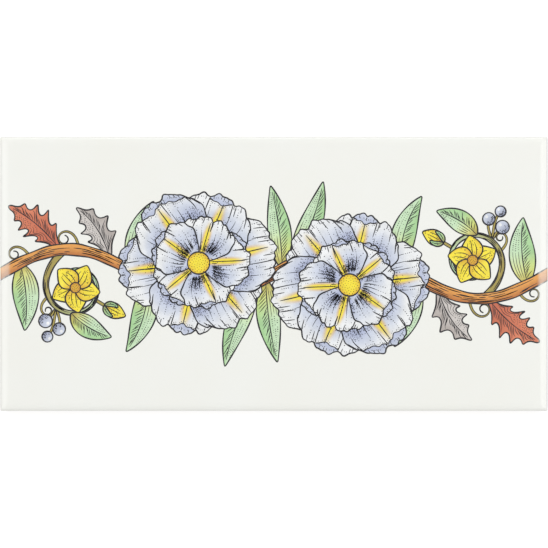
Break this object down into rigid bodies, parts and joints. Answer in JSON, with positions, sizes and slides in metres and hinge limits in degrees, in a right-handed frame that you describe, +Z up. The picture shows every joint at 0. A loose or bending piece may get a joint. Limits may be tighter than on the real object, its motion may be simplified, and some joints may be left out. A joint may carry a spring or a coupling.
{
  "type": "border tile",
  "caption": "Rectangular white-glazed ceramic wall border tile with a cushioned edge, a keyed back and a printed scrolling-vine flower band, laid end to end as a decorative course.",
  "frame": {"origin": "centre of the back, on the plane of the keying ribs that the tile lies on", "axes": "+X along the tile's length, +Y across its width, +Z up out of the glazed face"},
  "size_m": [0.2, 0.1, 0.007],
  "materials": {
    "glaze": "gloss white glaze"
  },
  "bodies": {
    "root": {"border_tile": "glaze"}
  },
  "joints": []
}
